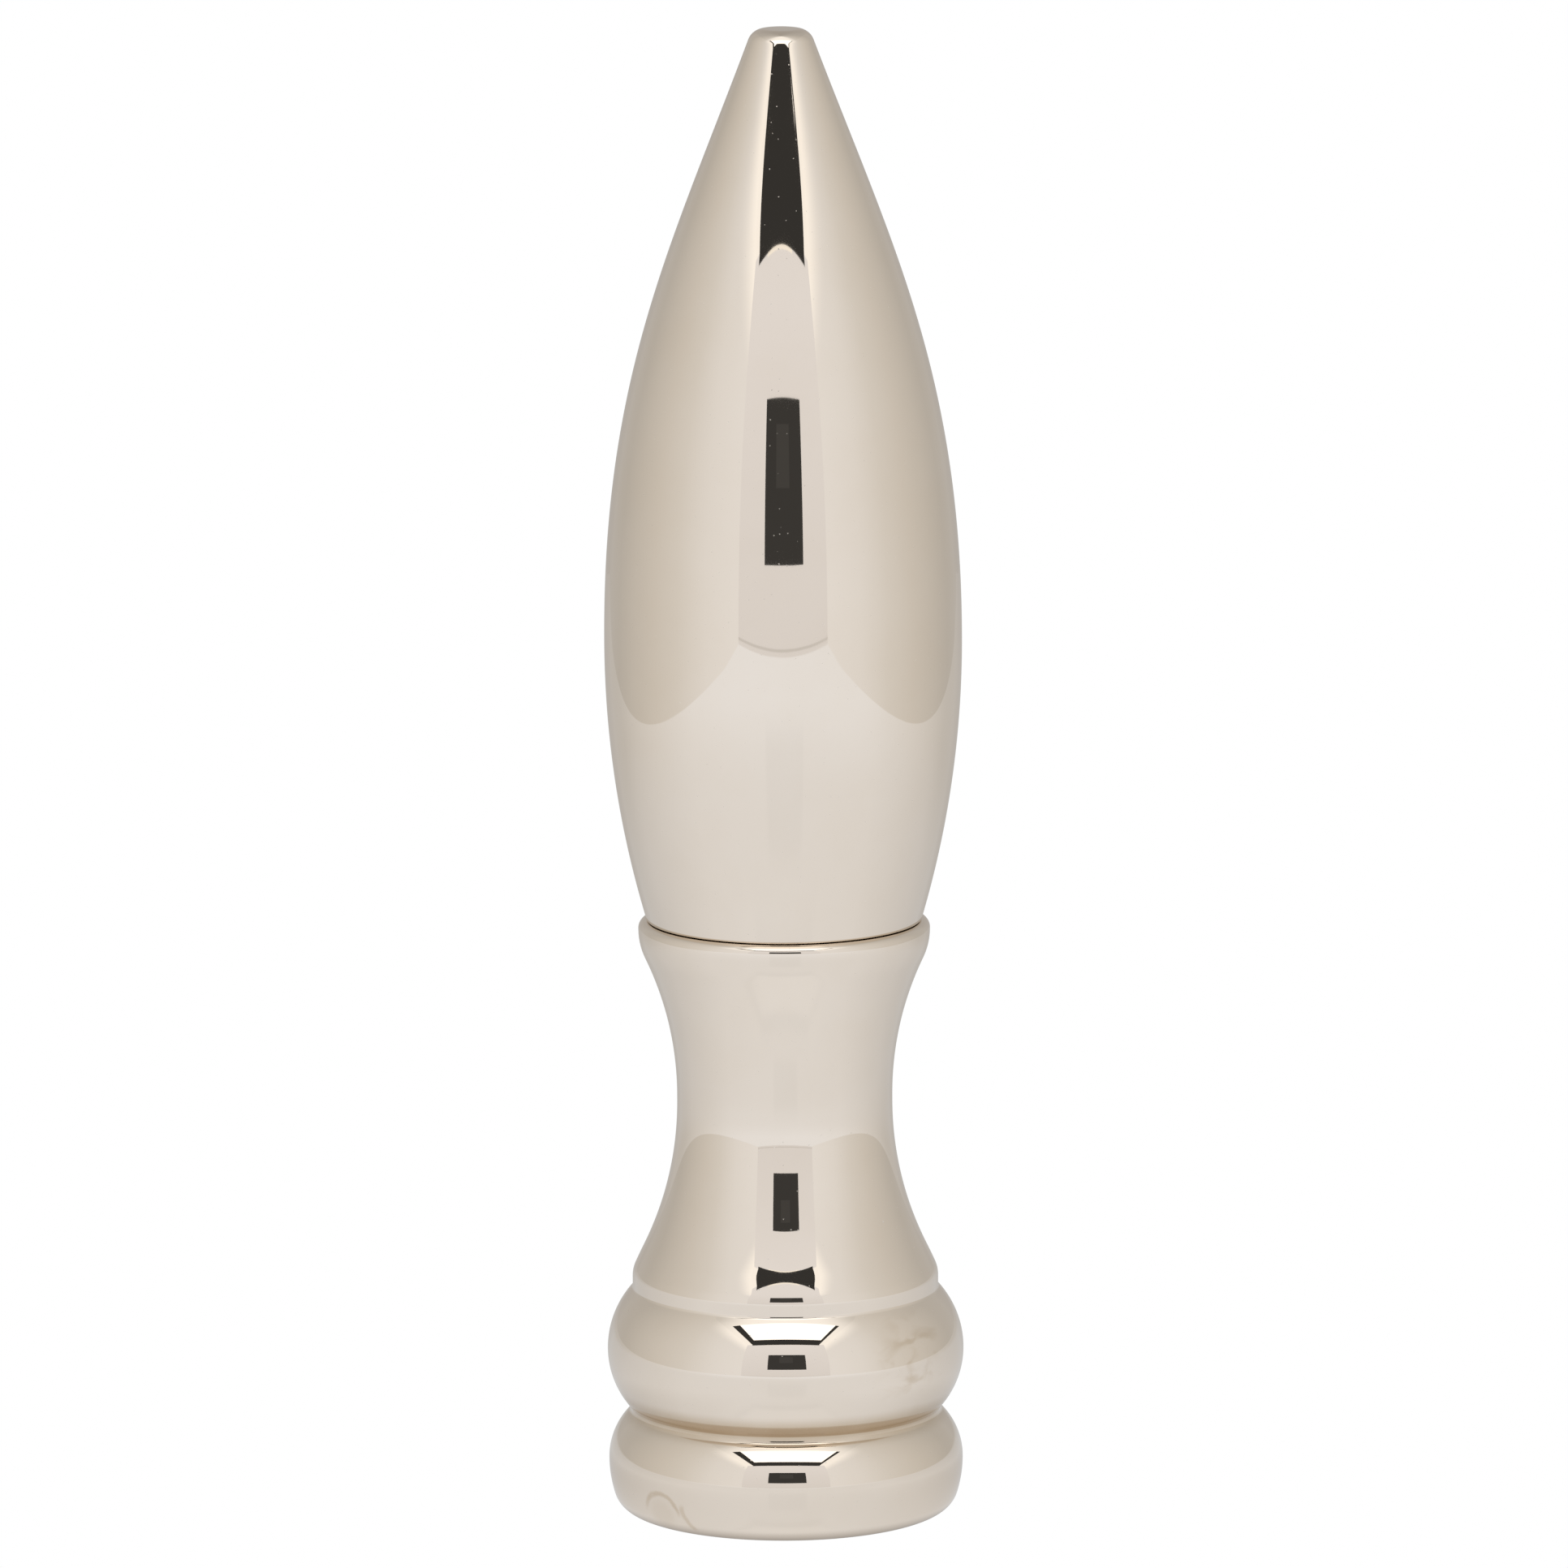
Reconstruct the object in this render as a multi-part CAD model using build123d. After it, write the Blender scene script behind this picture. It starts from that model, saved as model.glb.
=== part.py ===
"""Two-piece turned lamp finial: a pointed spire screwed down on a waisted cup base.

Millimetres, +Z up. The origin is on the turning axis, in the plane that the base stands on.
Every piece is turned about +Z. Threads are plain cylinders here.
"""

import math
import os

from build123d import *

# Whole finial
OVERALL_HEIGHT = 75.6

# Foot and bead rings: each ring is a pair of arcs that part at its crown
FOOT_RADIUS = 8.37
FOOT_EDGE_FILLET = 1.2
LOWER_RING_RADIUS = 8.975
LOWER_RING_HEIGHT = 2.63
GROOVE_RADIUS = 7.72
GROOVE_HEIGHT = 5.2
GROOVE_FILLET = 0.35
UPPER_RING_RADIUS = 9.02
UPPER_RING_HEIGHT = 8.28

# Flare: its sweep turns at the bend into a slow curve outwards, over an upright land above the cove
BEND_RADIUS = 7.19
BEND_HEIGHT = 13.51
FLARE_FOOT_RADIUS = 7.74
FLARE_FOOT_HEIGHT = 12.325
FLARE_FOOT_FILLET = 1.41
COVE_HEIGHT = 11.46
COVE_FILLET = 0.25

# Waist and cup
WAIST_RADIUS = 5.44
WAIST_HEIGHT = 21.05
WAIST_LAND = 0.33
RIM_RADIUS = 7.36
RIM_HEIGHT = 30.38
RIM_SIDE = 1.25
RIM_SIDE_FILLET = 3.3
RIM_LIP_FILLET = 0.42
RIM_WALL = 1.06

# Recess in the cup, and the spigot that sits in it
RECESS_DEPTH = 1.5
RECESS_EDGE_FILLET = 0.12
SPIGOT_CLEARANCE = 0.05
SEAM_GAP = 0.03

# Spire: the nose curve leaves the belly upright and heads for the tip along its last pull
RIM_STEP = 0.42
SPIRE_EDGE_FILLET = 0.1
BELLY_RADIUS = 8.995
BELLY_HEIGHT = 44.68
NOSE_BELLY_PULL = 0.442
NOSE_TIP_PULL = 0.343
NOSE_TIP_SPREAD = 0.52
TIP_RADIUS = 1.43
TIP_FILLET = 0.85

# Joining stud, 8-32
STUD_RADIUS = 2.083
STUD_PITCH = 0.79375
STUD_TURNS = 10
STUD_IN_BASE = 10.0
STUD_SPARE = 0.06
STUD_CLEARANCE = 0.05
STUD_END_CHAMFER = 0.35
STUD_HOLE_SPARE = 0.8
HOLE_MOUTH_CHAMFER = 0.3

# Thread bush in the base: 1/8 pipe thread outside, 1/4-27 harp thread inside
BUSH_RADIUS = 5.144
BUSH_LENGTH = 7.94
BUSH_INSET = 0.4
BUSH_FIT = 0.02
BUSH_EDGE_CHAMFER = 0.35
BUSH_SLOT_WIDTH = 1.3
BUSH_SLOT_DEPTH = 1.3
HARP_BORE_RADIUS = 2.75
HARP_RUNOUT_STEP = 0.55
HARP_RUNOUT_LENGTH = 3.16
DRILL_POINT_ANGLE = 59.0

# Two circles closer than this are the same edge
SAME_PLACE = 1e-3

# Places that follow from the sizes above
RECESS_RADIUS = RIM_RADIUS - RIM_WALL
RECESS_FLOOR = RIM_HEIGHT - RECESS_DEPTH
SPIRE_SHOULDER = RIM_HEIGHT + SEAM_GAP
SPIRE_EDGE_RADIUS = RIM_RADIUS - RIM_STEP
SPIGOT_RADIUS = RECESS_RADIUS - SPIGOT_CLEARANCE
STUD_BOTTOM = RECESS_FLOOR - STUD_IN_BASE
STUD_TOP = RECESS_FLOOR + STUD_TURNS * STUD_PITCH + STUD_SPARE
STUD_HOLE_RADIUS = STUD_RADIUS + STUD_CLEARANCE
BUSH_TOP = BUSH_INSET + BUSH_LENGTH
BEND_LEAN = 2 * math.atan((BEND_RADIUS - WAIST_RADIUS) / (WAIST_HEIGHT - BEND_HEIGHT))

# The fillet under the rim ends below the lip's fillet, however steeply the cup opens
CUP_RISE = RIM_HEIGHT - RIM_SIDE - WAIST_HEIGHT - WAIST_LAND
CUP_SPREAD = RIM_RADIUS - WAIST_RADIUS
RIM_SIDE_FILLET = min(RIM_SIDE_FILLET, (RIM_SIDE - RIM_LIP_FILLET) * CUP_RISE / CUP_SPREAD)


def turned(edges):
    """A solid turned about +Z from a closed outline drawn as (radius, height)."""
    return revolve(Plane.XZ * make_face(edges), axis=Axis.Z)


def turned_corners(*corners):
    """A solid turned about +Z from straight runs between those (radius, height) corners."""
    return turned(Polyline(*corners, close=True))


def bulge(crown, end):
    """The arc that leaves crown upright and ends at end, bulging out or in as end lies."""
    drop = crown[0] - end[0]
    rise = end[1] - crown[1]
    arc_radius = (rise**2 + drop**2) / (2 * drop)
    half_turn = math.atan(rise / (arc_radius - drop)) / 2
    centre = (crown[0] - arc_radius, crown[1])
    middle = (
        centre[0] + arc_radius * math.cos(half_turn),
        centre[1] + arc_radius * math.sin(half_turn),
    )
    return ThreePointArc(crown, middle, end)


def round_edge(solid, place, fillet_radius):
    """The turned solid with its circular edge at that (radius, height) rounded."""
    circles = solid.edges().filter_by(GeomType.CIRCLE)
    there = [
        edge
        for edge in circles
        if math.hypot(edge.radius - place[0], edge.center().Z - place[1]) < SAME_PLACE
    ]
    return fillet(there, fillet_radius)


def drilled_hole(radius, mouth, end):
    """What a drill removes along the axis, from a chamfered mouth to a cone past its full-width end."""
    inward = 1 if end > mouth else -1
    point = radius / math.tan(math.radians(DRILL_POINT_ANGLE))
    return turned_corners(
        (0, mouth),
        (radius + HOLE_MOUTH_CHAMFER, mouth),
        (radius, mouth + inward * HOLE_MOUTH_CHAMFER),
        (radius, end),
        (0, end + inward * point),
    )


def make_cup_outside():
    """The base's outside: foot, two bead rings, flare, waist and a cup with a rounded lip."""
    foot = (FOOT_RADIUS, 0)
    lower_crown = (LOWER_RING_RADIUS, LOWER_RING_HEIGHT)
    groove = (GROOVE_RADIUS, GROOVE_HEIGHT)
    upper_crown = (UPPER_RING_RADIUS, UPPER_RING_HEIGHT)
    cove = (FLARE_FOOT_RADIUS, COVE_HEIGHT)
    flare_foot = (FLARE_FOOT_RADIUS, FLARE_FOOT_HEIGHT)
    bend = (BEND_RADIUS, BEND_HEIGHT)
    down_flare = (math.sin(BEND_LEAN), -math.cos(BEND_LEAN))
    waist = (WAIST_RADIUS, WAIST_HEIGHT)
    cup_start = (WAIST_RADIUS, WAIST_HEIGHT + WAIST_LAND)
    rim_side = (RIM_RADIUS, RIM_HEIGHT - RIM_SIDE)
    lip = (RIM_RADIUS, RIM_HEIGHT)
    cup = turned(
        [
            Line((0, 0), foot),
            bulge(lower_crown, foot),
            bulge(lower_crown, groove),
            bulge(upper_crown, groove),
            bulge(upper_crown, cove),
            Line(cove, flare_foot),
            TangentArc(bend, flare_foot, tangent=down_flare),
            bulge(waist, bend),
            Line(waist, cup_start),
            bulge(cup_start, rim_side),
            Line(rim_side, lip),
            Line(lip, (0, RIM_HEIGHT)),
            Line((0, RIM_HEIGHT), (0, 0)),
        ]
    )
    cup = round_edge(cup, foot, FOOT_EDGE_FILLET)
    cup = round_edge(cup, groove, GROOVE_FILLET)
    cup = round_edge(cup, cove, COVE_FILLET)
    cup = round_edge(cup, flare_foot, FLARE_FOOT_FILLET)
    cup = round_edge(cup, rim_side, RIM_SIDE_FILLET)
    return round_edge(cup, lip, RIM_LIP_FILLET)


def make_cup_base():
    """The base with its recess, stud hole, bush seat and run-out above the bush."""
    recess = turned_corners(
        (0, RECESS_FLOOR),
        (RECESS_RADIUS, RECESS_FLOOR),
        (RECESS_RADIUS, RIM_HEIGHT),
        (0, RIM_HEIGHT),
    )
    bush_seat = turned_corners(
        (0, 0),
        (BUSH_RADIUS + BUSH_EDGE_CHAMFER, 0),
        (BUSH_RADIUS, BUSH_EDGE_CHAMFER),
        (BUSH_RADIUS, BUSH_TOP),
        (0, BUSH_TOP),
    )
    base = round_edge(
        make_cup_outside() - recess, (RECESS_RADIUS, RIM_HEIGHT), RECESS_EDGE_FILLET
    )
    base -= drilled_hole(STUD_HOLE_RADIUS, RECESS_FLOOR, STUD_BOTTOM)
    base -= drilled_hole(
        HARP_BORE_RADIUS + HARP_RUNOUT_STEP, BUSH_TOP, BUSH_TOP + HARP_RUNOUT_LENGTH
    )
    return base - bush_seat


def make_thread_bush():
    """The slotted bush that fills the base's bore, seated against the shoulder at its top."""
    outer = BUSH_RADIUS - BUSH_FIT
    mouth = HARP_BORE_RADIUS + BUSH_EDGE_CHAMFER
    bush = turned_corners(
        (mouth, BUSH_INSET),
        (outer - BUSH_EDGE_CHAMFER, BUSH_INSET),
        (outer, BUSH_INSET + BUSH_EDGE_CHAMFER),
        (outer, BUSH_TOP - BUSH_EDGE_CHAMFER),
        (outer - BUSH_EDGE_CHAMFER, BUSH_TOP),
        (mouth, BUSH_TOP),
        (HARP_BORE_RADIUS, BUSH_TOP - BUSH_EDGE_CHAMFER),
        (HARP_BORE_RADIUS, BUSH_INSET + BUSH_EDGE_CHAMFER),
    )
    slot = Box(
        3 * BUSH_RADIUS,
        BUSH_SLOT_WIDTH,
        BUSH_SLOT_DEPTH,
        align=(Align.CENTER, Align.CENTER, Align.MIN),
    )
    return bush - Pos(0, 0, BUSH_INSET) * slot


def make_joining_stud():
    """The headless stud that stands in the base and carries the spire."""
    end_radius = STUD_RADIUS - STUD_END_CHAMFER
    return turned_corners(
        (0, STUD_BOTTOM),
        (end_radius, STUD_BOTTOM),
        (STUD_RADIUS, STUD_BOTTOM + STUD_END_CHAMFER),
        (STUD_RADIUS, STUD_TOP - STUD_END_CHAMFER),
        (end_radius, STUD_TOP),
        (0, STUD_TOP),
    )


def make_spire_body():
    """The spire: a full belly, a long nose with a blunt tip, and a spigot under its shoulder."""
    belly = (BELLY_RADIUS, BELLY_HEIGHT)
    edge = (SPIRE_EDGE_RADIUS, SPIRE_SHOULDER)
    tip = (TIP_RADIUS, OVERALL_HEIGHT)
    nose_length = OVERALL_HEIGHT - BELLY_HEIGHT
    nose_spread = BELLY_RADIUS - TIP_RADIUS
    belly_pull = (BELLY_RADIUS, BELLY_HEIGHT + NOSE_BELLY_PULL * nose_length)
    tip_pull = (
        TIP_RADIUS + NOSE_TIP_SPREAD * nose_spread,
        OVERALL_HEIGHT - NOSE_TIP_PULL * nose_length,
    )
    spire = turned(
        [
            Line((0, SPIRE_SHOULDER), edge),
            bulge(belly, edge),
            Bezier(belly, belly_pull, tip_pull, tip),
            Line(tip, (0, OVERALL_HEIGHT)),
            Line((0, OVERALL_HEIGHT), (0, SPIRE_SHOULDER)),
        ]
    )
    spire = round_edge(spire, edge, SPIRE_EDGE_FILLET)
    spire = round_edge(spire, tip, TIP_FILLET)
    spire += turned_corners(
        (0, RECESS_FLOOR),
        (SPIGOT_RADIUS - HOLE_MOUTH_CHAMFER, RECESS_FLOOR),
        (SPIGOT_RADIUS, RECESS_FLOOR + HOLE_MOUTH_CHAMFER),
        (SPIGOT_RADIUS, SPIRE_SHOULDER),
        (0, SPIRE_SHOULDER),
    )
    return spire - drilled_hole(STUD_HOLE_RADIUS, RECESS_FLOOR, STUD_TOP + STUD_HOLE_SPARE)


PIECES = {
    "spire_body": make_spire_body,
    "cup_base": make_cup_base,
    "joining_stud": make_joining_stud,
    "thread_bush": make_thread_bush,
}

os.makedirs("parts", exist_ok=True)
for node, make in PIECES.items():
    export_step(make(), f"parts/{node}.step")
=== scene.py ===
"""Looks of the turned lamp finial: mirror-polished nickel shells, a threaded stud and a brass bush.

The shells, stud and bush are turned again here, smoother than the CAD and with their real threads,
and ride on the CAD bodies. Outlines are worked out in millimetres, the scene is in metres.
"""

import cmath
import math

import bpy
from mathutils import Matrix, Vector


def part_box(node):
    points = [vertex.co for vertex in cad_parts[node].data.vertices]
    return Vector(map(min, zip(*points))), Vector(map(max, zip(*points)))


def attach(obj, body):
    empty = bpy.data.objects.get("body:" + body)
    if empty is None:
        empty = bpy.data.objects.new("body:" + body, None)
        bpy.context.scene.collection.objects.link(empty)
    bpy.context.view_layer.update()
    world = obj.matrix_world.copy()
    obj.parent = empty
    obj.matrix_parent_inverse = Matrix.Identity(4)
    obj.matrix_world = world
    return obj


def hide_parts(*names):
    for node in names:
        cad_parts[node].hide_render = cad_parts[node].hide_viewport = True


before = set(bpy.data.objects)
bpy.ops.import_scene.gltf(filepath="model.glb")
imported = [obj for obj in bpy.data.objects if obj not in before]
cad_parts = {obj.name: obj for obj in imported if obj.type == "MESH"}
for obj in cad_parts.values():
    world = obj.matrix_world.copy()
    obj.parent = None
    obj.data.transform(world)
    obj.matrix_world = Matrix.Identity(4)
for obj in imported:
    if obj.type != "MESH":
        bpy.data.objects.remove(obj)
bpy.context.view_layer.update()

MM = 0.001

# Sizes that the frame gives, in millimetres
OVERALL_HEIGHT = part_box("spire_body")[1][2] / MM
SPIGOT_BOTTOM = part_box("spire_body")[0][2] / MM
RIM_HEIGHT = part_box("cup_base")[1][2] / MM
UPPER_RING_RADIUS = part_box("cup_base")[1][0] / MM
BELLY_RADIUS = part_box("spire_body")[1][0] / MM
STUD_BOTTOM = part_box("joining_stud")[0][2] / MM
STUD_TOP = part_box("joining_stud")[1][2] / MM
STUD_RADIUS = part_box("joining_stud")[1][0] / MM
BUSH_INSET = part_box("thread_bush")[0][2] / MM
BUSH_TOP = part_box("thread_bush")[1][2] / MM
BUSH_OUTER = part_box("thread_bush")[1][0] / MM

# Foot and bead rings
FOOT_RADIUS = 8.37
FOOT_EDGE_FILLET = 1.2
LOWER_RING_RADIUS = 8.975
LOWER_RING_HEIGHT = 2.63
GROOVE_RADIUS = 7.72
GROOVE_HEIGHT = 5.2
GROOVE_FILLET = 0.35
UPPER_RING_HEIGHT = 8.28

# Flare, waist and cup
BEND_RADIUS = 7.19
BEND_HEIGHT = 13.51
FLARE_FOOT_RADIUS = 7.74
FLARE_FOOT_HEIGHT = 12.325
FLARE_FOOT_FILLET = 1.41
COVE_HEIGHT = 11.46
COVE_FILLET = 0.25
WAIST_RADIUS = 5.44
WAIST_HEIGHT = 21.05
WAIST_LAND = 0.33
RIM_RADIUS = 7.36
RIM_SIDE = 1.25
RIM_SIDE_FILLET = 3.3
RIM_LIP_FILLET = 0.42
RECESS_RADIUS = 6.3
RECESS_EDGE_FILLET = 0.12

# Spire
SEAM_GAP = 0.03
SPIRE_EDGE_RADIUS = 6.94
SPIRE_EDGE_FILLET = 0.1
SPIGOT_RADIUS = 6.25
BELLY_HEIGHT = 44.68
NOSE_BELLY_PULL = 0.442
NOSE_TIP_PULL = 0.343
NOSE_TIP_SPREAD = 0.52
TIP_RADIUS = 1.43
TIP_FILLET = 0.85

# Stud, bush and the holes they stand in
STUD_HOLE_RADIUS = 2.133
STUD_HOLE_SPARE = 0.8
STUD_END_CHAMFER = 0.35
STUD_PITCH = 0.79375
STUD_THREAD_DEPTH = 0.48
HOLE_CHAMFER = 0.3
BUSH_SEAT_RADIUS = 5.144
BUSH_BORE_RADIUS = 2.75
BUSH_CHAMFER = 0.35
BUSH_PITCH = 0.9407
BUSH_THREAD_DEPTH = 0.5
BUSH_SLOT = 1.3
RUNOUT_RADIUS = 3.3
RUNOUT_LENGTH = 3.16
DRILL_POINT = 1 / math.tan(math.radians(59))

# How finely the outlines and the turned meshes are divided
FILLET_STEP = math.radians(4)
ARC_STEP = math.radians(2)
LONGEST_STEP = 0.25
SHELL_FACETS = 160
SMALL_FACETS = 96
THREAD_ROWS = 14
STRAIGHT = 1e6
SAME_SHARE = 1e-6
WELD = 5e-7

# A thread's crest and root, as shares of half its pitch, and the folds that stay sharp
CREST_SHARE = 0.12
ROOT_SHARE = 0.8
TURNS_BELOW = 1000.0
SHELL_FOLD = math.radians(35)
THREAD_FOLD = math.radians(80)


# ---------------------------------------------------------------- outlines
# A place on an outline is a complex number: its radius from the axis, and its height times 1j.


class Run:
    """A stretch of an outline: an arc about a centre, or a straight run about a very far one."""

    def __init__(self, start, end, centre):
        self.start, self.end, self.centre = start, end, centre
        self.radius = abs(start - centre)
        self.turns = 1 if crossed(end - start, centre - start) > 0 else -1

    def heading(self, place):
        """The direction of travel at a place on the run."""
        spoke = place - self.centre
        return 1j * self.turns * spoke / abs(spoke)

    def places(self, step):
        """Places from the start up to the end, which is left to the next run."""
        first = self.start - self.centre
        sweep = cmath.phase((self.end - self.centre) / first)
        count = math.ceil(abs(sweep) / step)
        if self.radius < STRAIGHT / 2:
            count = max(count, math.ceil(abs(self.end - self.start) / LONGEST_STEP))
        return [self.centre + first * cmath.exp(1j * sweep * index / count) for index in range(count)]

    def downwards(self):
        """The same run travelled the other way."""
        return Run(self.end, self.start, self.centre)


def crossed(first, second):
    """Positive where the second direction lies to the left of the first."""
    return (first.conjugate() * second).imag


def straight(start, end):
    aside = 1j * (end - start) / abs(end - start)
    return Run(start, end, (start + end) / 2 + aside * STRAIGHT)


def corners(*places):
    """Straight runs from each place to the next."""
    return [straight(start, end) for start, end in zip(places, places[1:])]


def bulge(crown, end):
    """The arc that is upright at its crown and passes through end."""
    spread, rise = (crown - end).real, (end - crown).imag
    return Run(crown, end, crown - (rise**2 + spread**2) / (2 * spread))


def smooth_on(run, end):
    """The arc that carries on from a run's end, in its direction, to another place."""
    ahead = run.heading(run.end)
    chord = end - run.end
    aside = 1j * ahead
    return Run(run.end, end, run.end + aside * abs(chord) ** 2 / (2 * crossed(ahead, chord)))


def meeting(centre_a, radius_a, centre_b, radius_b, near):
    """Where two circles cross, on the side nearer to a given place."""
    between = centre_b - centre_a
    gap = abs(between)
    along = (radius_a**2 - radius_b**2 + gap**2) / (2 * gap)
    aside = math.sqrt(max(radius_a**2 - along**2, 0))
    crossings = [centre_a + between / gap * complex(along, side) for side in (aside, -aside)]
    return min(crossings, key=lambda place: abs(place - near))


def rounded(runs, fillets):
    """Places along the joined runs, with the corners that fillets names rounded to its radii."""
    places = []
    start = runs[0].start
    for before, after in zip(runs, runs[1:]):
        corner = before.end
        if corner not in fillets:
            places += Run(start, corner, before.centre).places(ARC_STEP)
            start = corner
            continue
        fillet = fillets[corner]
        side = 1 if crossed(before.heading(corner), after.heading(corner)) > 0 else -1
        radius_before = before.radius - before.turns * side * fillet
        radius_after = after.radius - after.turns * side * fillet
        centre = meeting(before.centre, radius_before, after.centre, radius_after, corner)
        leaves = before.centre + (centre - before.centre) * before.radius / radius_before
        joins = after.centre + (centre - after.centre) * after.radius / radius_after
        places += Run(start, leaves, before.centre).places(ARC_STEP)
        places += Run(leaves, joins, centre).places(FILLET_STEP)
        start = joins
    places += Run(start, runs[-1].end, runs[-1].centre).places(ARC_STEP)
    return places + [runs[-1].end]


def cup_base_outline():
    """From the bottom of the stud's hole up, over the lip, down the outside and up the bush's seat."""
    lip = complex(RIM_RADIUS, RIM_HEIGHT)
    recess_edge = complex(RECESS_RADIUS, RIM_HEIGHT)
    rim_side = lip - RIM_SIDE * 1j
    waist = complex(WAIST_RADIUS, WAIST_HEIGHT)
    bend = complex(BEND_RADIUS, BEND_HEIGHT)
    sweep = bulge(waist, bend)
    cup_start = waist + WAIST_LAND * 1j
    flare_foot = complex(FLARE_FOOT_RADIUS, FLARE_FOOT_HEIGHT)
    cove = complex(FLARE_FOOT_RADIUS, COVE_HEIGHT)
    upper_crown = complex(UPPER_RING_RADIUS, UPPER_RING_HEIGHT)
    groove = complex(GROOVE_RADIUS, GROOVE_HEIGHT)
    lower_crown = complex(LOWER_RING_RADIUS, LOWER_RING_HEIGHT)
    foot = complex(FOOT_RADIUS, 0)
    runout_end = BUSH_TOP + RUNOUT_LENGTH
    runs = corners(
        complex(0, STUD_BOTTOM - STUD_HOLE_RADIUS * DRILL_POINT),
        complex(STUD_HOLE_RADIUS, STUD_BOTTOM),
        complex(STUD_HOLE_RADIUS, SPIGOT_BOTTOM - HOLE_CHAMFER),
        complex(STUD_HOLE_RADIUS + HOLE_CHAMFER, SPIGOT_BOTTOM),
        complex(RECESS_RADIUS, SPIGOT_BOTTOM),
        recess_edge,
        lip,
        rim_side,
    )
    runs += [
        bulge(cup_start, rim_side).downwards(),
        straight(cup_start, waist),
        sweep,
        smooth_on(sweep, flare_foot),
        straight(flare_foot, cove),
        bulge(upper_crown, cove).downwards(),
        bulge(upper_crown, groove),
        bulge(lower_crown, groove).downwards(),
        bulge(lower_crown, foot),
    ]
    runs += corners(
        foot,
        complex(BUSH_SEAT_RADIUS + BUSH_CHAMFER, 0),
        complex(BUSH_SEAT_RADIUS, BUSH_CHAMFER),
        complex(BUSH_SEAT_RADIUS, BUSH_TOP),
        complex(RUNOUT_RADIUS + HOLE_CHAMFER, BUSH_TOP),
        complex(RUNOUT_RADIUS, BUSH_TOP + HOLE_CHAMFER),
        complex(RUNOUT_RADIUS, runout_end),
        complex(0, runout_end + RUNOUT_RADIUS * DRILL_POINT),
    )
    fillets = {
        recess_edge: RECESS_EDGE_FILLET,
        lip: RIM_LIP_FILLET,
        rim_side: RIM_SIDE_FILLET,
        flare_foot: FLARE_FOOT_FILLET,
        cove: COVE_FILLET,
        groove: GROOVE_FILLET,
        foot: FOOT_EDGE_FILLET,
    }
    return rounded(runs, fillets)


def nose_outline():
    """The rounded tip and the nose curve, from the tip's centre down to the belly's crown."""
    length = OVERALL_HEIGHT - BELLY_HEIGHT
    belly = complex(BELLY_RADIUS, BELLY_HEIGHT)
    tip = complex(TIP_RADIUS, OVERALL_HEIGHT)
    belly_pull = belly + NOSE_BELLY_PULL * length * 1j
    tip_pull = tip + complex(NOSE_TIP_SPREAD * (BELLY_RADIUS - TIP_RADIUS), -NOSE_TIP_PULL * length)

    def nose(share):
        rest = 1 - share
        ends = rest**3 * belly + share**3 * tip
        return ends + 3 * rest * share * (rest * belly_pull + share * tip_pull)

    def fillet_centre(share):
        ahead = nose(share + SAME_SHARE) - nose(share - SAME_SHARE)
        return nose(share) + 1j * ahead / abs(ahead) * TIP_FILLET

    low, high = 0.5, 1.0
    while high - low > SAME_SHARE:
        middle = (low + high) / 2
        if fillet_centre(middle).imag + TIP_FILLET < OVERALL_HEIGHT:
            low = middle
        else:
            high = middle
    centre = fillet_centre(low)
    top_end = complex(centre.real, OVERALL_HEIGHT)
    places = straight(complex(0, OVERALL_HEIGHT), top_end).places(ARC_STEP)
    places += Run(top_end, nose(low), centre).places(FILLET_STEP)
    count = math.ceil(length / LONGEST_STEP)
    return places + [nose(low * (1 - index / count)) for index in range(count)]


def spire_outline():
    """From the tip's centre down to the shoulder, round the spigot and up into the stud's hole."""
    edge = complex(SPIRE_EDGE_RADIUS, RIM_HEIGHT + SEAM_GAP)
    hole_end = STUD_TOP + STUD_HOLE_SPARE
    runs = [bulge(complex(BELLY_RADIUS, BELLY_HEIGHT), edge)]
    runs += corners(
        edge,
        complex(SPIGOT_RADIUS, RIM_HEIGHT + SEAM_GAP),
        complex(SPIGOT_RADIUS, SPIGOT_BOTTOM + HOLE_CHAMFER),
        complex(SPIGOT_RADIUS - HOLE_CHAMFER, SPIGOT_BOTTOM),
        complex(STUD_HOLE_RADIUS + HOLE_CHAMFER, SPIGOT_BOTTOM),
        complex(STUD_HOLE_RADIUS, SPIGOT_BOTTOM + HOLE_CHAMFER),
        complex(STUD_HOLE_RADIUS, hole_end),
        complex(0, hole_end + STUD_HOLE_RADIUS * DRILL_POINT),
    )
    return nose_outline() + rounded(runs, {edge: SPIRE_EDGE_FILLET})


def thread_rows(start, end, pitch):
    """Places along an upright run, close enough together to carry a thread."""
    count = math.ceil(abs(end - start) / pitch * THREAD_ROWS)
    return [start + (end - start) * index / count for index in range(count + 1)]


def stud_outline():
    """From the top's centre down the threaded side to the bottom's centre."""
    end_radius = STUD_RADIUS - STUD_END_CHAMFER
    high = complex(STUD_RADIUS, STUD_TOP - STUD_END_CHAMFER)
    low = complex(STUD_RADIUS, STUD_BOTTOM + STUD_END_CHAMFER)
    top = [complex(0, STUD_TOP), complex(end_radius, STUD_TOP)]
    bottom = [complex(end_radius, STUD_BOTTOM), complex(0, STUD_BOTTOM)]
    return top + thread_rows(high, low, STUD_PITCH) + bottom


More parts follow.
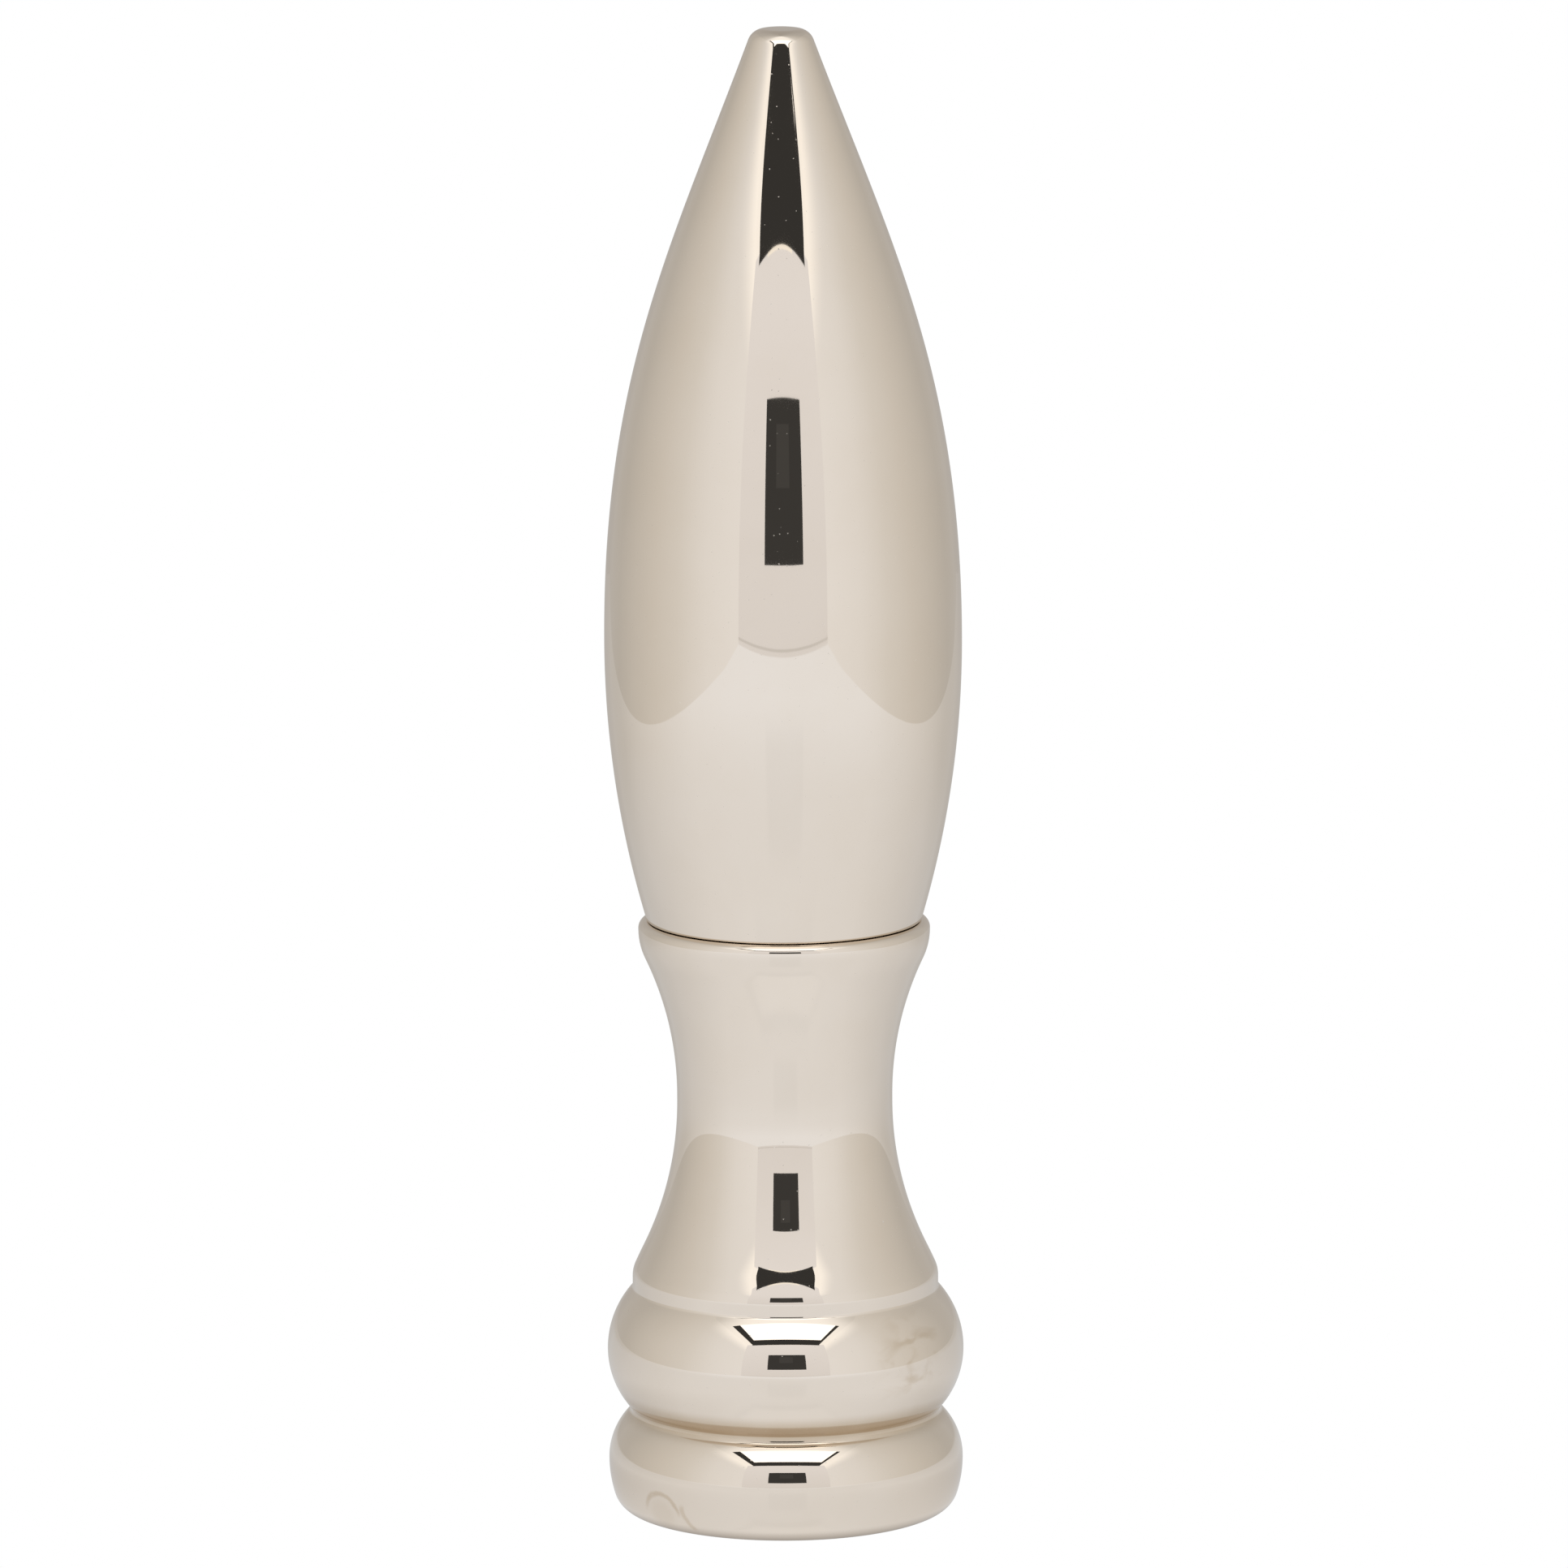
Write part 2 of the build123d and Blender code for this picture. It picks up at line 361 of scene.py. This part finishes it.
def bush_outline():
    """A closed ring: up the threaded bore, across the top, down the threaded outside and back."""
    mouth = BUSH_BORE_RADIUS + BUSH_CHAMFER
    shoulder = BUSH_OUTER - BUSH_CHAMFER
    low, high = BUSH_INSET + BUSH_CHAMFER, BUSH_TOP - BUSH_CHAMFER
    start = complex(mouth, BUSH_INSET)
    bore = thread_rows(complex(BUSH_BORE_RADIUS, low), complex(BUSH_BORE_RADIUS, high), BUSH_PITCH)
    top = [complex(mouth, BUSH_TOP), complex(shoulder, BUSH_TOP)]
    outside = thread_rows(complex(BUSH_OUTER, high), complex(BUSH_OUTER, low), BUSH_PITCH)
    return [start] + bore + top + outside + [complex(shoulder, BUSH_INSET), start]


# ---------------------------------------------------------------- nodes


class Wire:
    """One output of a node in a tree. Arithmetic on it adds Math nodes."""

    def __init__(self, tree, socket=None):
        self.tree, self.socket = tree, socket

    def node(self, kind, inputs=None, settings=None, output=0):
        """A new node of any kind: its settings first, then its inputs' values or links."""
        made = self.tree.nodes.new(kind)
        for name, value in (settings or {}).items():
            if name == "stops":
                fill_ramp(made.color_ramp, value)
            else:
                setattr(made, name, value)
        for name, value in (inputs or {}).items():
            if isinstance(value, Wire):
                self.tree.links.new(value.socket, made.inputs[name])
            else:
                made.inputs[name].default_value = value
        return Wire(self.tree, made.outputs[output] if made.outputs else None)

    def maths(self, operation, *inputs):
        return self.node("ShaderNodeMath", dict(enumerate(inputs)), {"operation": operation})

    def __add__(self, other):
        return self.maths("ADD", self, other)

    def __sub__(self, other):
        return self.maths("SUBTRACT", self, other)

    def __rsub__(self, other):
        return self.maths("SUBTRACT", other, self)

    def __mul__(self, other):
        return self.maths("MULTIPLY", self, other)

    def __truediv__(self, other):
        return self.maths("DIVIDE", self, other)

    __radd__ = __add__
    __rmul__ = __mul__

    def step(self, low, high):
        """0 below low, 1 above high, and a smooth step between them. Low may be the larger."""
        settings = {"interpolation_type": "SMOOTHSTEP"}
        return self.node("ShaderNodeMapRange", {"Value": self, "From Min": low, "From Max": high}, settings)

    def tinted(self, under, over):
        """The colour under where this wire is 0, and over where it is 1."""
        return self.node("ShaderNodeMix", {0: self, 6: under, 7: over}, {"data_type": "RGBA"}, 2)


def fill_ramp(ramp, stops):
    """Stops are (position, colour) pairs in rising order."""
    for index, (position, colour) in enumerate(stops):
        element = ramp.elements[index] if index < 2 else ramp.elements.new(position)
        element.position = position
        element.color = colour


def colour(red, green, blue):
    return (red, green, blue, 1.0)


def grey(level):
    return colour(level, level, level)


# ---------------------------------------------------------------- turned meshes


def turning_tree():
    """Turns an outline, a chain of (radius, 0, height) points, about the upright axis.

    A row's thread_depth is how far its thread cuts in, or out of a bore where it is negative.
    TURNS_BELOW keeps the count of turns positive, and a slotted piece loses a block at its foot.
    """
    tree = bpy.data.node_groups.new("turn_outline", "GeometryNodeTree")
    face = tree.interface
    face.new_socket("Outline", in_out="INPUT", socket_type="NodeSocketGeometry")
    face.new_socket("Facets", in_out="INPUT", socket_type="NodeSocketInt")
    face.new_socket("Thread pitch", in_out="INPUT", socket_type="NodeSocketFloat")
    face.new_socket("Sharp angle", in_out="INPUT", socket_type="NodeSocketFloat")
    face.new_socket("Weld", in_out="INPUT", socket_type="NodeSocketFloat")
    face.new_socket("Slot", in_out="INPUT", socket_type="NodeSocketVector")
    face.new_socket("Slot height", in_out="INPUT", socket_type="NodeSocketVector")
    face.new_socket("Slotted", in_out="INPUT", socket_type="NodeSocketBool")
    face.new_socket("Material", in_out="INPUT", socket_type="NodeSocketMaterial")
    face.new_socket("Piece", in_out="OUTPUT", socket_type="NodeSocketGeometry")
    board = Wire(tree)

    def given(name):
        return board.node("NodeGroupInput", output=name)

    outline, facets = given("Outline"), given("Facets")
    rows = board.node("GeometryNodeAttributeDomainSize", {"Geometry": outline}, output="Point Count")
    grid = board.node("GeometryNodeMeshGrid", {"Vertices X": facets + 1, "Vertices Y": rows})
    index = board.node("GeometryNodeInputIndex")
    column = board.maths("FLOOR", (index + 0.5) / rows)
    row = index - column * rows
    place = board.node(
        "GeometryNodeSampleIndex",
        {"Geometry": outline, "Value": board.node("GeometryNodeInputPosition"), "Index": row},
        {"data_type": "FLOAT_VECTOR"},
    )
    depth = board.node(
        "GeometryNodeSampleIndex",
        {
            "Geometry": outline,
            "Value": board.node("GeometryNodeInputNamedAttribute", {"Name": "thread_depth"}),
            "Index": row,
        },
    )
    radius = board.node("ShaderNodeSeparateXYZ", {0: place}, output="X")
    height = board.node("ShaderNodeSeparateXYZ", {0: place}, output="Z")
    turn = column / facets
    along = board.maths("FRACT", height / given("Thread pitch") - turn + TURNS_BELOW)
    flank = board.maths("ABSOLUTE", along * 2.0 - 1.0)
    flank_range = {"Value": flank, "From Min": CREST_SHARE, "From Max": ROOT_SHARE}
    cut = board.node("ShaderNodeMapRange", flank_range)
    radius = radius - depth * cut
    angle = turn * math.tau
    spot = board.node(
        "ShaderNodeCombineXYZ",
        {
            "X": radius * board.maths("COSINE", angle),
            "Y": radius * board.maths("SINE", angle),
            "Z": height,
        },
    )
    turned = board.node("GeometryNodeSetPosition", {"Geometry": grid, "Position": spot})
    welded = board.node("GeometryNodeMergeByDistance", {"Geometry": turned, "Distance": given("Weld")})
    # Wrapped round the axis, the grid's faces look inwards until they are flipped
    outward = board.node("GeometryNodeFlipFaces", {"Mesh": welded})
    block = board.node("GeometryNodeMeshCube", {"Size": given("Slot")})
    block = board.node("GeometryNodeTransform", {"Geometry": block, "Translation": given("Slot height")})
    slotted = board.node(
        "GeometryNodeMeshBoolean",
        {0: outward, 1: block},
        {"operation": "DIFFERENCE", "solver": "MANIFOLD"},
    )
    solid = board.node(
        "GeometryNodeSwitch",
        {"Switch": given("Slotted"), "False": outward, "True": slotted},
        {"input_type": "GEOMETRY"},
    )
    sharp = board.node("GeometryNodeInputMeshEdgeAngle")
    soft = board.node(
        "FunctionNodeCompare",
        {0: sharp, 1: given("Sharp angle")},
        {"data_type": "FLOAT", "operation": "LESS_THAN"},
    )
    smooth = board.node("GeometryNodeSetShadeSmooth", {"Geometry": solid})
    creased = board.node(
        "GeometryNodeSetShadeSmooth", {"Geometry": smooth, "Shade Smooth": soft}, {"domain": "EDGE"}
    )
    real = board.node("GeometryNodeRealizeInstances", {0: creased})
    done = board.node("GeometryNodeSetMaterial", {"Geometry": real, "Material": given("Material")})
    board.node("NodeGroupOutput", {"Piece": done})
    return tree


def turned_mesh(name, outline, thread, settings):
    """A plain mesh object, turned by the tree from an outline. Thread gives each place's depth."""
    mesh = bpy.data.meshes.new(name + "_outline")
    points = [(place.real * MM, 0, place.imag * MM) for place in outline]
    mesh.from_pydata(points, [(index, index + 1) for index in range(len(points) - 1)], [])
    depths = mesh.attributes.new("thread_depth", "FLOAT", "POINT")
    depths.data.foreach_set("value", [thread(place) * MM for place in outline])
    maker = bpy.data.objects.new(name + "_outline", mesh)
    bpy.context.scene.collection.objects.link(maker)
    modifier = maker.modifiers.new("turn", "NODES")
    modifier.node_group = TURNING
    for item in TURNING.interface.items_tree:
        if item.in_out == "INPUT" and item.name in settings:
            modifier[item.identifier] = settings[item.name]
    made = bpy.data.meshes.new_from_object(maker.evaluated_get(bpy.context.evaluated_depsgraph_get()))
    bpy.data.objects.remove(maker)
    piece = bpy.data.objects.new(name, made)
    bpy.context.scene.collection.objects.link(piece)
    return piece


def stands_for(piece, node, body):
    """The piece takes a CAD node's place on its body, and the CAD node is hidden."""
    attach(piece, body)
    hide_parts(node)


def no_thread(place):
    return 0.0


# ---------------------------------------------------------------- finishes


def finish_board(name):
    """A new material with its tree's board, its surface shader and the place in millimetres."""
    material = bpy.data.materials.new(name)
    material.use_nodes = True
    shader = material.node_tree.nodes["Principled BSDF"]
    board = Wire(material.node_tree)
    place = board.node("ShaderNodeTexCoord", output="Object")
    place = board.node("ShaderNodeVectorMath", {0: place, "Scale": 1 / MM}, {"operation": "SCALE"})
    return material, board, shader, place


def connect(shader, **inputs):
    """Links each wire to the shader's input of that name."""
    for name, wire in inputs.items():
        wire.tree.links.new(wire.socket, shader.inputs[name.replace("_", " ")])


def noise(board, place, scale, detail=2.0, roughness=0.5, distortion=0.0):
    inputs = {
        "Vector": place,
        "Scale": scale,
        "Detail": detail,
        "Roughness": roughness,
        "Distortion": distortion,
    }
    return board.node("ShaderNodeTexNoise", inputs)


def distance_to(board, place, spot):
    return board.node("ShaderNodeVectorMath", {0: place, 1: spot}, {"operation": "DISTANCE"}, "Value")


NICKEL = colour(0.745, 0.665, 0.572)
NICKEL_WARM = colour(0.70, 0.612, 0.505)
STAIN_AND_SHADE = colour(0.47, 0.355, 0.225)
# Brown of the stains and the smudge, and of the painted shade in the groove
DUST = colour(0.62, 0.58, 0.52)

# Places and radii of the marks on the nickel, in millimetres, and depths of its bumps in metres
RING_STAIN_PLACE = (-6.35, -6.25, 1.0)
RING_STAIN_RADIUS = 1.14
TAIL_PLACE = (-3.7, -8.1, 1.9)
TAIL_RADIUS = 1.9
TAIL_MIDDLE = (-5.15, -7.3, 0.9)
PRINT_PLACE = (6.5, -6.0, 8.9)
PRINT_RADIUS = 3.2
PRINT_DRAW = (0.55, 0.55, 1.1)
PRINT_SPREAD = 0.3
RIDGE_SCALE = 0.3
GROOVE_SHADE_HEIGHT = GROOVE_HEIGHT + 0.4
GROOVE_SHADE_REACH = 1.0
FOOT_POLISH = (5.6, 4.6)
BASE_POLISH = (46.0, 30.0)
POLISH_RIPPLE = 1.8e-7
TURNING_LINE_DEPTH = 4e-6


def dust_on(board, place, scale, radius):
    """A speck at the heart of some of the cells."""
    cells = board.node("ShaderNodeTexVoronoi", {"Vector": place, "Scale": scale})
    pick = board.node("ShaderNodeTexVoronoi", {"Vector": place, "Scale": scale}, output="Color")
    chance = board.node("ShaderNodeSeparateColor", {0: pick})
    return cells.step(radius * scale, 0.3 * radius * scale) * chance.step(0.35, 0.4)


def polished_nickel():
    material, board, shader, place = finish_board("polished_nickel")
    height = board.node("ShaderNodeSeparateXYZ", {0: place}, output="Z")
    wander = noise(board, place, 0.9, 3.0)
    patches = noise(board, place, 0.22, 4.0, 0.6)

    # Dried drip low on the front left of the foot ring: an arch whose right side runs to the edge
    to_ring = distance_to(board, place, RING_STAIN_PLACE) + (wander - 0.5) * 0.35
    outline = board.maths("ABSOLUTE", to_ring - RING_STAIN_RADIUS).step(0.2, 0.03)
    ring_stain = outline * height.step(0.9, 1.5) * patches.step(0.3, 0.5)
    to_tail = distance_to(board, place, TAIL_PLACE) + (wander - 0.5) * 0.5
    tail = board.maths("ABSOLUTE", to_tail - TAIL_RADIUS).step(0.24, 0.04)
    tail = tail * distance_to(board, place, TAIL_MIDDLE).step(0.95, 0.6)
    ring_stain = board.maths("MAXIMUM", ring_stain, tail * 0.8)
    ring_inside = to_ring.step(RING_STAIN_RADIUS, 0.4 * RING_STAIN_RADIUS)

    # Faint finger smudge on the right of the upper ring, drawn out along the ring
    print_mask = distance_to(board, place, PRINT_PLACE).step(PRINT_RADIUS, PRINT_SPREAD * PRINT_RADIUS)
    drawn_out = board.node("ShaderNodeVectorMath", {0: place, 1: PRINT_DRAW}, {"operation": "MULTIPLY"})
    streaks = noise(board, drawn_out, 1.0, 2.0, 0.5, 0.8).step(0.44, 0.7)
    ridges = board.node(
        "ShaderNodeTexWave",
        {"Vector": drawn_out, "Scale": RIDGE_SCALE, "Distortion": 3.0, "Detail": 2.0},
        {"bands_direction": "Z"},
        "Fac",
    )
    finger_print = print_mask * streaks * (ridges * 0.5 + 0.5)

    # Painted shade in the groove between the rings, patchy, which also roughens the groove a little
    in_groove = board.maths("ABSOLUTE", height - GROOVE_SHADE_HEIGHT).step(GROOVE_SHADE_REACH, 0.2)
    groove_shade = in_groove * (patches * 0.6 + 0.4)

    dust = board.maths("MAXIMUM", dust_on(board, place, 2.4, 0.05) * 0.3, dust_on(board, place, 0.3, 0.07))
    tone = patches.step(0.35, 0.75) * 0.25 + height.step(9.0, 2.0) * 0.25
    base = tone.tinted(NICKEL, NICKEL_WARM)
    base = (ring_inside * 0.14 + finger_print * 0.42).tinted(base, STAIN_AND_SHADE)
    # Painted shade: the groove's base colour darkens towards the brown
    base = (groove_shade * 0.9).tinted(base, STAIN_AND_SHADE)
    base = (ring_stain * 0.45).tinted(base, STAIN_AND_SHADE)
    base = dust.tinted(base, DUST)
    smudge = patches.step(0.5, 0.75) * 0.012 + finger_print * 0.06 + groove_shade * 0.1
    roughness = smudge + ring_stain * 0.12 + ring_inside * 0.02 + dust * 0.6 + 0.02
    hand_polish = height.step(*FOOT_POLISH) * 4.0 + height.step(*BASE_POLISH) + 1.0
    ripple = noise(board, place, 1.1, 1.0) * hand_polish
    bump = board.node("ShaderNodeBump", {"Height": ripple, "Distance": POLISH_RIPPLE}, output="Normal")
    connect(shader, Base_Color=base, Roughness=roughness, Metallic=1.0 - dust * 0.85, Normal=bump)
    return material


def cut_metal(name, tint, worn, roughness_from, roughness_to, lines):
    """Machined metal: fine turning lines round the axis, tarnish and uneven gloss."""
    material, board, shader, place = finish_board(name)
    stretched = board.node(
        "ShaderNodeVectorMath", {0: place, 1: (0.6, 0.6, lines)}, {"operation": "MULTIPLY"}
    )
    turning_lines = noise(board, stretched, 1.0, 3.0)
    patches = noise(board, place, 0.8, 4.0, 0.6)
    tarnish = patches.step(0.45, 0.7)
    base = (tarnish * 0.7).tinted(tint, worn)
    spread = roughness_to - roughness_from
    roughness = turning_lines * spread + tarnish * 0.08 + roughness_from
    bump = board.node(
        "ShaderNodeBump", {"Height": turning_lines, "Distance": TURNING_LINE_DEPTH}, output="Normal"
    )
    shader.inputs["Metallic"].default_value = 1.0
    connect(shader, Base_Color=base, Roughness=roughness, Normal=bump)
    return material


nickel = polished_nickel()
steel = cut_metal("stud_steel", grey(0.52), colour(0.36, 0.33, 0.29), 0.22, 0.42, 9.0)
brass = cut_metal("bush_brass", colour(0.72, 0.52, 0.22), colour(0.42, 0.27, 0.12), 0.2, 0.4, 9.0)


# ---------------------------------------------------------------- pieces

TURNING = turning_tree()


def shell(node, body, outline):
    settings = {
        "Facets": SHELL_FACETS,
        "Thread pitch": 1.0,
        "Sharp angle": SHELL_FOLD,
        "Weld": WELD,
        "Material": nickel,
    }
    piece = turned_mesh(node + "_shell", outline, no_thread, settings)
    stands_for(piece, node, body)


def joining_stud():
    top, bottom = STUD_TOP - STUD_END_CHAMFER, STUD_BOTTOM + STUD_END_CHAMFER

    def thread(place):
        return STUD_THREAD_DEPTH * (bottom < place.imag < top)

    settings = {
        "Facets": SMALL_FACETS,
        "Thread pitch": STUD_PITCH * MM,
        "Sharp angle": THREAD_FOLD,
        "Weld": WELD,
        "Material": steel,
    }
    piece = turned_mesh("stud_thread", stud_outline(), thread, settings)
    stands_for(piece, "joining_stud", "stud")


def thread_bush():
    low, high = BUSH_INSET + BUSH_CHAMFER, BUSH_TOP - BUSH_CHAMFER

    def thread(place):
        if not low < place.imag < high:
            return 0.0
        return BUSH_THREAD_DEPTH if place.real > BUSH_BORE_RADIUS + BUSH_CHAMFER else -BUSH_THREAD_DEPTH

    settings = {
        "Facets": SMALL_FACETS,
        "Thread pitch": BUSH_PITCH * MM,
        "Sharp angle": THREAD_FOLD,
        "Weld": WELD,
        "Slotted": True,
        "Slot": (3 * BUSH_OUTER * MM, BUSH_SLOT * MM, 2 * BUSH_SLOT * MM),
        "Slot height": (0, 0, BUSH_INSET * MM),
        "Material": brass,
    }
    piece = turned_mesh("bush_thread", bush_outline(), thread, settings)
    stands_for(piece, "thread_bush", "base")


shell("spire_body", "spire", spire_outline())
shell("cup_base", "base", cup_base_outline())
joining_stud()
thread_bush()


# ---------------------------------------------------------------- studio

# The light tent, in millimetres: its walls, the opening for the camera and the lamp in its roof.
# A box is its lower left corner and its upper right one, as (across, up) or (across, back).
TENT_FRONT = -298
TENT_BACK = 300
TENT_SIDE = 160
TENT_ROOF = 252
OPENING = ((-61, 46.8), (69, 151))
LAMP_FRAME = ((-136, -298), (138, -104))
FRAME_HANGS_TO = 244.6
LIGHT_LEAK = 2.2
HEM = (2.6, 4.0)
CAMERA_SIGHT = ((-22, 92), (24, 133))
LAMP_FACE = ((-112, -240), (126, -103))
LAMP_GLOW = 1.8
FLOOR_REACH = 3000
FLOOR_DROP = 0.02
FLOOR_GLOSS = 0.035


def glow(name, tint):
    """A surface that only glows, in one colour or in one that a function makes on its board."""
    material = bpy.data.materials.new(name)
    material.use_nodes = True
    material.node_tree.nodes.clear()
    board = Wire(material.node_tree)
    shine = board.node("ShaderNodeEmission", {"Color": tint(board) if callable(tint) else tint})
    board.node("ShaderNodeOutputMaterial", {"Surface": shine})
    return material


def stage_panel(name, places, material, seen=False):
    """A flat panel of the studio, given by its corners in millimetres."""
    mesh = bpy.data.meshes.new(name)
    mesh.from_pydata([Vector(place) * MM for place in places], [], [tuple(range(len(places)))])
    mesh.materials.append(material)
    panel = bpy.data.objects.new(name, mesh)
    bpy.context.scene.collection.objects.link(panel)
    panel.visible_camera = seen


def upright_panel(name, y, box, material):
    (left, low), (right, high) = box
    stage_panel(name, [(left, y, low), (right, y, low), (right, y, high), (left, y, high)], material)


def level_panel(name, z, box, material, seen=False):
    (left, front), (right, back) = box
    places = [(left, front, z), (right, front, z), (right, back, z), (left, back, z)]
    stage_panel(name, places, material, seen)


def side_panel(name, x, material):
    places = [(x, TENT_FRONT, 0), (x, TENT_BACK, 0), (x, TENT_BACK, TENT_ROOF), (x, TENT_FRONT, TENT_ROOF)]
    stage_panel(name, places, material)


def towards_front(board):
    """1 straight in front of the finial, 0 beside it and -1 behind it."""
    place = board.node("ShaderNodeTexCoord", output="Object")
    level = board.node("ShaderNodeVectorMath", {0: place, 1: (1, 1, 0)}, {"operation": "MULTIPLY"})
    unit = board.node("ShaderNodeVectorMath", {0: level}, {"operation": "NORMALIZE"})
    return board.node("ShaderNodeSeparateXYZ", {0: unit}, output="Y") * -1.0


def height_of(board):
    place = board.node("ShaderNodeTexCoord", output="Object")
    return board.node("ShaderNodeSeparateXYZ", {0: place}, output="Z") / MM


def tent_cloth(board):
    facing = (towards_front(board) + 1.0) * 0.5
    stops = [
        (0.0, colour(0.49, 0.465, 0.44)),
        (0.08, colour(0.585, 0.572, 0.555)),
        (0.18, colour(0.60, 0.588, 0.568)),
        (0.33, colour(0.692, 0.678, 0.655)),
        (0.5, colour(0.78, 0.765, 0.742)),
        (0.67, colour(0.86, 0.856, 0.848)),
        (0.82, colour(0.965, 0.975, 0.998)),
        (0.93, colour(1.01, 1.025, 1.06)),
        (1.0, colour(1.01, 1.025, 1.06)),
    ]
    cloth = board.node("ShaderNodeValToRGB", {0: facing}, {"stops": stops})
    beside_lamp = height_of(board).step(170, 250) * facing.step(0.62, 0.9)
    return beside_lamp.tinted(cloth, grey(1.3))


def roof_cloth(board):
    """The tent's cloth, dimmer towards the back."""
    facing = (towards_front(board) + 1.0) * 0.5
    return ((1.0 - facing) * 0.3).tinted(tent_cloth(board), grey(0.45))


def front_cloth(board):
    rise = height_of(board) / TENT_ROOF
    return rise.tinted(colour(0.925, 0.93, 0.965), colour(1.01, 1.02, 1.07))


def floor_cloth(board):
    """As bright as a lit floor is, merging with the walls far off, and darker close to the foot with a
    painted contact shadow.
    """
    facing = (towards_front(board) + 1.0) * 0.5
    stops = [
        (0.0, colour(0.50, 0.48, 0.455)),
        (0.08, colour(0.645, 0.65, 0.66)),
        (0.28, colour(0.75, 0.76, 0.785)),
        (0.5, colour(0.825, 0.838, 0.865)),
        (0.75, colour(0.905, 0.922, 0.958)),
        (1.0, colour(0.93, 0.95, 0.99)),
    ]
    cloth = board.node("ShaderNodeValToRGB", {0: facing}, {"stops": stops})
    place = board.node("ShaderNodeTexCoord", output="Object")
    level = board.node("ShaderNodeVectorMath", {0: place, 1: (1 / MM, 1 / MM, 0)}, {"operation": "MULTIPLY"})
    away = board.node("ShaderNodeVectorMath", {0: level}, {"operation": "LENGTH"}, "Value")
    merged = (away.step(75, 165) * (1.06 - facing)).tinted(cloth, tent_cloth(board))
    lit = (away.step(60, 200) * facing * 0.6).tinted(merged, colour(1.07, 1.12, 1.21))
    # Painted contact shadow on the floor round the foot: a soft wide shade, then a dark rim right at its
    # edge
    shaded = (away.step(26, 9) * (1.1 - facing) * 0.45).tinted(lit, colour(0.36, 0.33, 0.3))
    return away.step(9.0, 7.4).tinted(shaded, colour(0.3, 0.27, 0.24))


def floor_finish():
    """Pure white to the camera. To the metal it glows, and has a weak gloss that mirrors the tent."""
    material = bpy.data.materials.new("floor")
    material.use_nodes = True
    material.node_tree.nodes.clear()
    board = Wire(material.node_tree)
    shine = board.node("ShaderNodeEmission", {"Color": floor_cloth(board)})
    gloss = board.node("ShaderNodeBsdfAnisotropic", {"Color": grey(FLOOR_GLOSS), "Roughness": 0.16})
    lit = board.node("ShaderNodeAddShader", {0: shine, 1: gloss})
    white = board.node("ShaderNodeEmission", {"Color": grey(1.0)})
    camera = board.node("ShaderNodeLightPath", output="Is Camera Ray")
    seen = board.node("ShaderNodeMixShader", {0: camera, 1: lit, 2: white})
    board.node("ShaderNodeOutputMaterial", {"Surface": seen})
    return material


def studio():
    cloth = glow("tent_cloth", tent_cloth)
    white = glow("tent_front", front_cloth)
    dark = glow("tent_opening", grey(0.055))
    black = glow("lamp_frame", grey(0.045))
    bright = glow("lamp_face", grey(LAMP_GLOW))
    roof_white = glow("tent_roof", roof_cloth)
    leak = glow("light_leak", colour(1.25, 1.22, 1.15))
    hem = glow("hem", colour(0.76, 0.76, 0.77))
    dim = glow("camera_sight", grey(0.072))
    walls = ((-TENT_SIDE, 0), (TENT_SIDE, TENT_ROOF))
    roof = ((-TENT_SIDE, TENT_FRONT), (TENT_SIDE, TENT_BACK))
    upright_panel("tent_front_wall", TENT_FRONT, walls, white)
    upright_panel("tent_back_wall", TENT_BACK, walls, cloth)
    side_panel("tent_left_wall", -TENT_SIDE, cloth)
    side_panel("tent_right_wall", TENT_SIDE, cloth)
    level_panel("tent_roof", TENT_ROOF, roof, roof_white)
    upright_panel("tent_opening", TENT_FRONT + 1, OPENING, dark)
    upright_panel("camera_sight", TENT_FRONT + 2, CAMERA_SIGHT, dim)
    level_panel("lamp_frame", TENT_ROOF - 1, LAMP_FRAME, black)
    level_panel("lamp_face", TENT_ROOF - 2, LAMP_FACE, bright)
    (frame_left, _), (frame_right, _) = LAMP_FRAME
    hanging = ((frame_left, FRAME_HANGS_TO), (frame_right, TENT_ROOF))
    upright_panel("lamp_frame_hanging", TENT_FRONT + 1, hanging, black)
    leaking = ((0.6 * frame_left, FRAME_HANGS_TO - LIGHT_LEAK), (0.45 * frame_right, FRAME_HANGS_TO))
    upright_panel("light_leak", TENT_FRONT + 1, leaking, leak)
    upright_panel("hem", TENT_FRONT + 1, ((-TENT_SIDE, HEM[0]), (TENT_SIDE, HEM[1])), hem)
    ground = ((-FLOOR_REACH, -FLOOR_REACH), (FLOOR_REACH, FLOOR_REACH))
    level_panel("floor", -FLOOR_DROP, ground, floor_finish(), seen=True)
    world = bpy.data.worlds.new("studio")
    world.use_nodes = True
    world.node_tree.nodes["Background"].inputs["Color"].default_value = grey(1.0)
    bpy.context.scene.world = world
    bpy.context.scene.view_settings.view_transform = "Standard"


# The camera, in millimetres: where it stands, where it looks, and how far it leans
CAMERA_PLACE = (0, -708.66, 167.12)
CAMERA_AIM = (0.02, 0, 37.29)
CAMERA_LENS = 328.43
CAMERA_LEAN = math.radians(-0.21)


def camera():
    data = bpy.data.cameras.new("camera")
    data.lens = CAMERA_LENS
    data.sensor_width = 36
    data.clip_start = 0.01
    place = Vector(CAMERA_PLACE) * MM
    look = Vector(CAMERA_AIM) * MM - place
    stand = bpy.data.objects.new("camera", data)
    turn = look.to_track_quat("-Z", "Y").to_matrix().to_4x4()
    lean = Matrix.Rotation(CAMERA_LEAN, 4, "Z")
    stand.matrix_world = Matrix.Translation(place) @ turn @ lean
    bpy.context.scene.collection.objects.link(stand)
    bpy.context.scene.camera = stand


studio()
camera()
